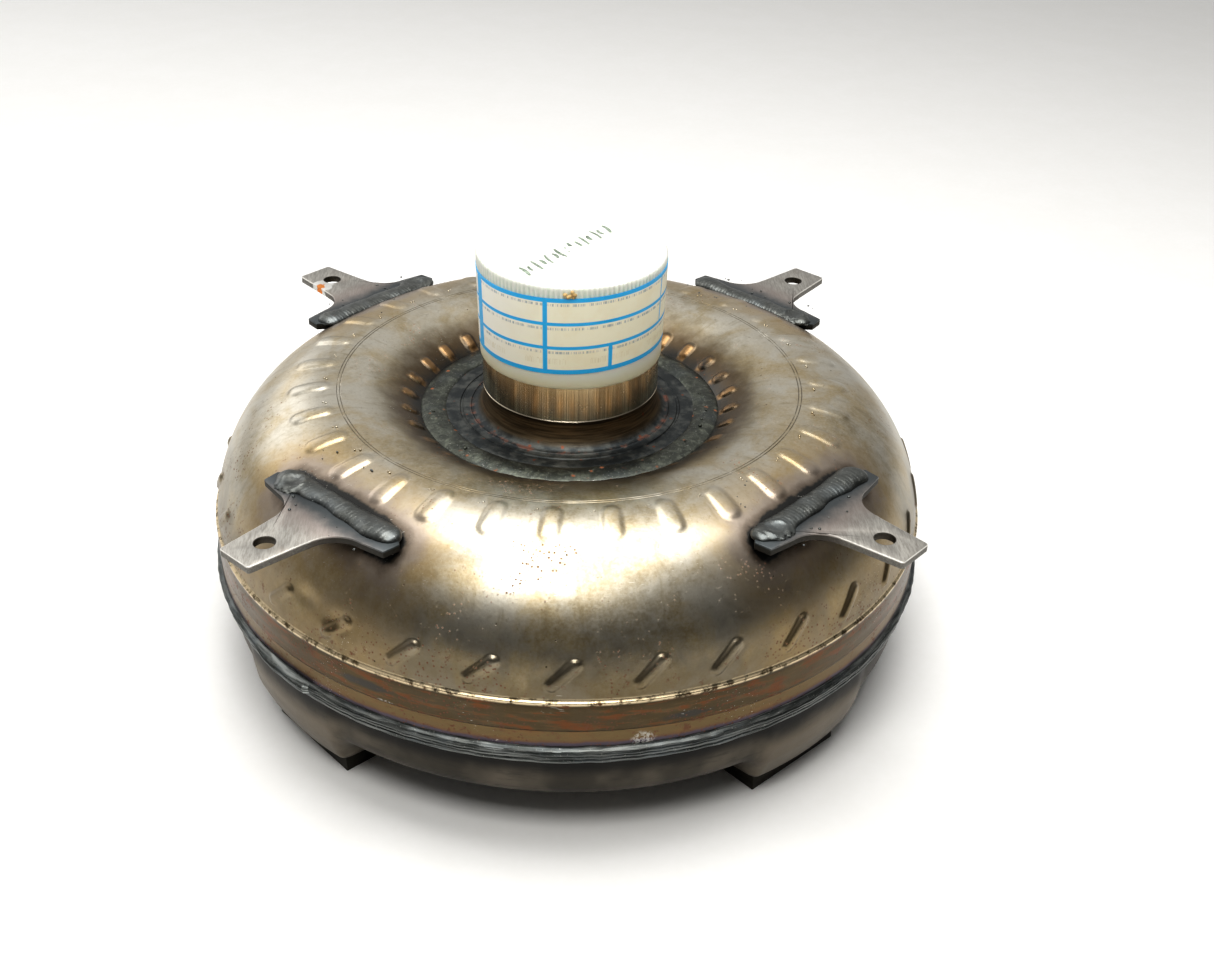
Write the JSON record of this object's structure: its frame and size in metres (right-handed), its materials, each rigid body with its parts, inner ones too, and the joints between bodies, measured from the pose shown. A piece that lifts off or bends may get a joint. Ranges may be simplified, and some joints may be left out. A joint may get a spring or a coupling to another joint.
{
  "type": "torque converter",
  "caption": "Welded torque converter: domed torus shell, T-shaped mounting lugs, steel hub under a push-on plastic cap, turbine, stator and lock-up clutch inside.",
  "frame": {"origin": "on the converter's axis, level with the lower faces of the mounting blocks", "axes": "+Z along the axis from the engine side to the hub end; the four lugs lie at 45 degrees to +X and +Y"},
  "size_m": [0.35, 0.35, 0.2046],
  "materials": {
    "shell_steel": "bare pressed steel, straw and brown heat stains",
    "blade_steel": "pressed sheet, oily",
    "hub_steel": "ground journal, brown unground neck",
    "weld": "blue-grey weld bead, rippled",
    "seam_weld": "dark grey multi-ridged weld",
    "lug_steel": "bright ground plate, sheared edges",
    "cover_steel": "dull grey pressed steel",
    "block_steel": "black hot-rolled steel",
    "turned_steel": "turned",
    "rivet_steel": "headed",
    "spring_steel": "oil-tempered wire",
    "lining_paper": "oil-soaked friction paper with grooves",
    "seal_black": "filled fluoropolymer",
    "cast_aluminium": "die-cast, machined bores",
    "race_steel": "hardened and ground",
    "roller_steel": "polished rollers",
    "cage_bronze": "pressed cage",
    "washer_bronze": "sintered bronze",
    "cap_plastic": "translucent white polyethylene",
    "label_paper": "cream paper with blue rules"
  },
  "bodies": {
    "housing": {"impeller_shell": "shell_steel", "impeller_blades": "blade_steel", "impeller_core_ring": "blade_steel", "impeller_hub": "hub_steel", "hub_weld": "weld", "seam_weld": "seam_weld", "mounting_lug_1": "lug_steel", "mounting_lug_2": "lug_steel", "mounting_lug_3": "lug_steel", "mounting_lug_4": "lug_steel", "lug_welds": "weld", "front_cover": "cover_steel", "pilot_boss": "turned_steel", "mounting_block_1": "block_steel", "mounting_block_2": "block_steel", "mounting_block_3": "block_steel", "mounting_block_4": "block_steel", "rear_bearing_upper_race": "race_steel", "front_thrust_washer": "washer_bronze"},
    "turbine": {"turbine_shell": "blade_steel", "turbine_blades": "blade_steel", "turbine_core_ring": "blade_steel", "turbine_hub": "turned_steel", "turbine_rivets": "rivet_steel", "damper_drive_ring": "turned_steel", "piston_seal_ring": "seal_black", "front_bearing_lower_race": "race_steel"},
    "damper": {"damper_springs": "spring_steel"},
    "piston": {"lockup_piston": "turned_steel", "friction_lining": "lining_paper", "spring_retainer": "blade_steel", "retainer_rivets": "rivet_steel"},
    "stator": {"stator_wheel": "cast_aluminium", "clutch_outer_race": "race_steel", "clutch_rollers": "roller_steel", "roller_springs": "spring_steel", "front_side_plate": "race_steel", "rear_side_plate": "race_steel", "stator_snap_rings": "spring_steel", "front_bearing_upper_race": "race_steel", "rear_bearing_lower_race": "race_steel"},
    "inner_race": {"clutch_inner_race": "race_steel"},
    "front_bearing": {"front_bearing_cage": "cage_bronze", "front_bearing_needles": "roller_steel"},
    "rear_bearing": {"rear_bearing_cage": "cage_bronze", "rear_bearing_needles": "roller_steel"},
    "cap": {"hub_cap": "cap_plastic", "cap_label": "label_paper"}
  },
  "joints": [
    {"name": "turbine_spin", "type": "hinge", "parent": "housing", "child": "turbine", "pos_m": [0, 0, 0.05], "axis": [0, 0, 1], "continuous": true},
    {"name": "damper_twist", "type": "hinge", "parent": "turbine", "child": "damper", "pos_m": [0, 0, 0.0315], "axis": [0, 0, 1], "range_deg": [-3.4, 3.4]},
    {"name": "piston_slide", "type": "slide", "parent": "damper", "child": "piston", "axis": [0, 0, 1], "range_m": [-0.00095, 0]},
    {"name": "stator_spin", "type": "hinge", "parent": "housing", "child": "stator", "pos_m": [0, 0, 0.085], "axis": [0, 0, 1], "continuous": true},
    {"name": "inner_race_spin", "type": "hinge", "parent": "stator", "child": "inner_race", "pos_m": [0, 0, 0.085], "axis": [0, 0, 1], "continuous": true},
    {"name": "front_cage_spin", "type": "hinge", "parent": "housing", "child": "front_bearing", "pos_m": [0, 0, 0.0585], "axis": [0, 0, 1], "continuous": true},
    {"name": "rear_cage_spin", "type": "hinge", "parent": "housing", "child": "rear_bearing", "pos_m": [0, 0, 0.1108], "axis": [0, 0, 1], "continuous": true},
    {"name": "cap_lift", "type": "slide", "parent": "housing", "child": "cap", "axis": [0, 0, 1], "range_m": [0, 0.08]}
  ],
  "couplings": [
    {"joint": "front_cage_spin", "follows": "turbine_spin", "ratio": 0.5},
    {"joint": "rear_cage_spin", "follows": "stator_spin", "ratio": 0.5}
  ]
}
